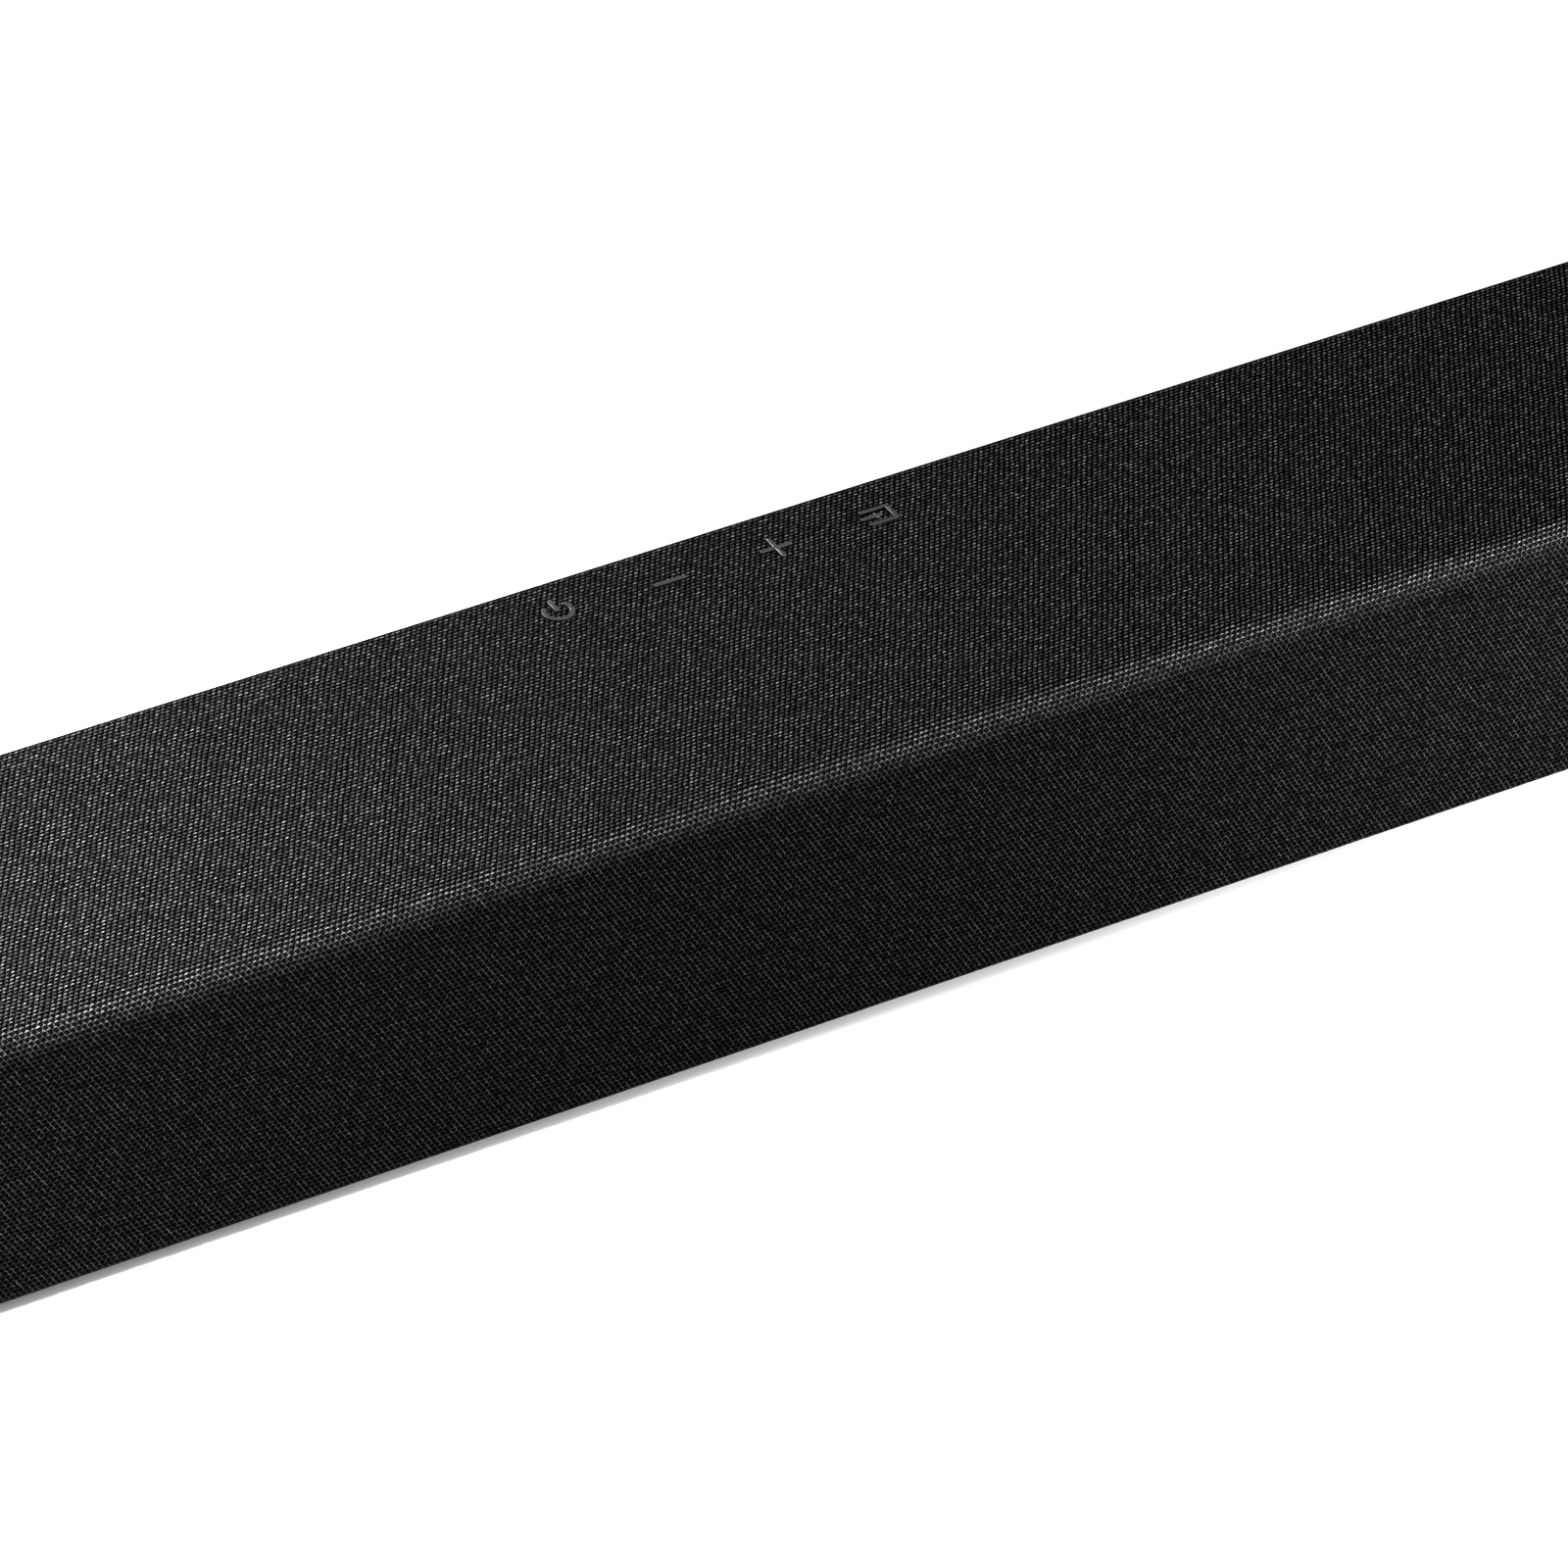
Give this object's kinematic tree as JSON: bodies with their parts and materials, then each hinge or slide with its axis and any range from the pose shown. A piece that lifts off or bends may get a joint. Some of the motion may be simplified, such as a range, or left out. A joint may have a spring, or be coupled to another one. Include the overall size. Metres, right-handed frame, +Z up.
{
  "type": "soundbar",
  "caption": "Slim fabric-covered soundbar: woven skin over top and front, raised keys on top, moulded rear housing with jack bay and bass ports.",
  "frame": {"origin": "middle of the footprint, on the surface the bar stands on", "axes": "+X along the bar to the listener's right, -Y towards the listener, +Z up"},
  "size_m": [0.86, 0.074, 0.0543],
  "materials": {
    "woven_fabric": "matte woven",
    "shell_plastic": "moulded",
    "housing_plastic": "fine moulded texture",
    "cap_plastic": "fine moulded texture",
    "panel_plastic": "moulded",
    "foot_rubber": "matte",
    "screw_steel": "black zinc",
    "brass_insert": "turned",
    "key_plastic": "satin",
    "circuit_board": "solder mask",
    "component_black": "moulded",
    "shield_steel": "tinned",
    "heat_sink_aluminium": "extruded",
    "capacitor_sleeve": "shrink sleeve",
    "socket_plastic": "moulded",
    "socket_metal": "nickel plated",
    "ribbon_plastic": "satin",
    "lead_insulation": "satin",
    "enclosure_plastic": "moulded",
    "basket_steel": "black",
    "motor_steel": "zinc plated",
    "cone_paper": "pressed pulp",
    "surround_rubber": "satin",
    "spider_cloth": "treated cloth"
  },
  "bodies": {
    "casing": {"amplifier_chip": "component_black", "audio_socket": "socket_plastic", "baffle_left": "enclosure_plastic", "baffle_right": "enclosure_plastic", "basket_left_inner": "basket_steel", "basket_left_outer": "basket_steel", "basket_right_inner": "basket_steel", "basket_right_outer": "basket_steel", "capacitors": "capacitor_sleeve", "enclosure_left": "enclosure_plastic", "enclosure_right": "enclosure_plastic", "end_cap_left": "cap_plastic", "end_cap_right": "cap_plastic", "fabric_wrap": "woven_fabric", "foot_left": "foot_rubber", "foot_right": "foot_rubber", "grille_shell": "shell_plastic", "hdmi_socket": "socket_metal", "heat_sink": "heat_sink_aluminium", "housing_screws": "screw_steel", "indicator_board": "circuit_board", "infrared_receiver": "component_black", "inner_screws": "screw_steel", "jack_panel": "panel_plastic", "key_board": "circuit_board", "key_carrier": "shell_plastic", "magnet_left_inner": "motor_steel", "magnet_left_outer": "motor_steel", "magnet_right_inner": "motor_steel", "magnet_right_outer": "motor_steel", "main_board": "circuit_board", "mount_inserts": "brass_insert", "optical_socket": "socket_plastic", "port_tube_left": "panel_plastic", "port_tube_right": "panel_plastic", "power_inlet": "socket_plastic", "rear_housing": "housing_plastic", "ribbon_cable": "ribbon_plastic", "speaker_leads_left": "lead_insulation", "speaker_leads_right": "lead_insulation", "spider_left_inner": "spider_cloth", "spider_left_outer": "spider_cloth", "spider_right_inner": "spider_cloth", "spider_right_outer": "spider_cloth", "surround_left_inner": "surround_rubber", "surround_left_outer": "surround_rubber", "surround_right_inner": "surround_rubber", "surround_right_outer": "surround_rubber", "tact_switches": "component_black", "usb_socket": "socket_metal", "wireless_module": "shield_steel"},
    "power_key": {"key_power": "key_plastic"},
    "minus_key": {"key_minus": "key_plastic"},
    "plus_key": {"key_plus": "key_plastic"},
    "source_key": {"key_source": "key_plastic"},
    "left_outer_cone": {"cone_left_outer": "cone_paper"},
    "left_inner_cone": {"cone_left_inner": "cone_paper"},
    "right_inner_cone": {"cone_right_inner": "cone_paper"},
    "right_outer_cone": {"cone_right_outer": "cone_paper"}
  },
  "joints": [
    {"name": "power_press", "type": "slide", "parent": "casing", "child": "power_key", "axis": [0, 0, -1], "range_m": [0, 0.0003], "stiffness_N_per_m": 4000},
    {"name": "minus_press", "type": "slide", "parent": "casing", "child": "minus_key", "axis": [0, 0, -1], "range_m": [0, 0.0003], "stiffness_N_per_m": 4000},
    {"name": "plus_press", "type": "slide", "parent": "casing", "child": "plus_key", "axis": [0, 0, -1], "range_m": [0, 0.0003], "stiffness_N_per_m": 4000},
    {"name": "source_press", "type": "slide", "parent": "casing", "child": "source_key", "axis": [0, 0, -1], "range_m": [0, 0.0003], "stiffness_N_per_m": 4000},
    {"name": "left_outer_stroke", "type": "slide", "parent": "casing", "child": "left_outer_cone", "axis": [0, -1, 0], "range_m": [-0.001, 0.001], "stiffness_N_per_m": 1500, "deforming": ["surround_left_outer", "spider_left_outer"]},
    {"name": "left_inner_stroke", "type": "slide", "parent": "casing", "child": "left_inner_cone", "axis": [0, -1, 0], "range_m": [-0.001, 0.001], "stiffness_N_per_m": 1500, "deforming": ["surround_left_inner", "spider_left_inner"]},
    {"name": "right_inner_stroke", "type": "slide", "parent": "casing", "child": "right_inner_cone", "axis": [0, -1, 0], "range_m": [-0.001, 0.001], "stiffness_N_per_m": 1500, "deforming": ["surround_right_inner", "spider_right_inner"]},
    {"name": "right_outer_stroke", "type": "slide", "parent": "casing", "child": "right_outer_cone", "axis": [0, -1, 0], "range_m": [-0.001, 0.001], "stiffness_N_per_m": 1500, "deforming": ["surround_right_outer", "spider_right_outer"]}
  ]
}
